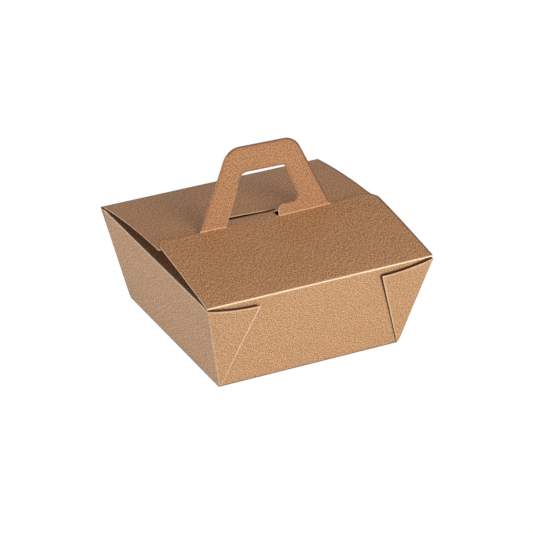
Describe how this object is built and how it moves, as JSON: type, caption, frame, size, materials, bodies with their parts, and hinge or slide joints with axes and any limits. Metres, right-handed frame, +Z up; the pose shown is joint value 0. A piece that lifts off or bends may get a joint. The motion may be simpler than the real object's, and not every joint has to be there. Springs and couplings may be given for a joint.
{
  "type": "takeout food pail",
  "caption": "Folded kraft-board take-away box with a flared tray, double web corners and an overlapping lid that ends in a die-cut carry handle and a lock tongue.",
  "frame": {"origin": "middle of the base's underside, on the surface that the box stands on", "axes": "+Z up, +X to the right along the lid creases, -Y towards the front wall whose lid flap carries the handle"},
  "size_m": [0.1504, 0.1434, 0.1183],
  "materials": {
    "kraft_board": "matte"
  },
  "bodies": {
    "tray": {"carton": "kraft_board"},
    "lid": {"front_lid": "kraft_board", "lock_tongue": "kraft_board"}
  },
  "joints": [
    {"name": "front_lid_crease", "type": "hinge", "parent": "tray", "child": "lid", "pos_m": [0, -0.07023, 0.0617], "axis": [1, 0, 0], "range_deg": [0, 170], "deforming": ["lock_tongue"]}
  ]
}
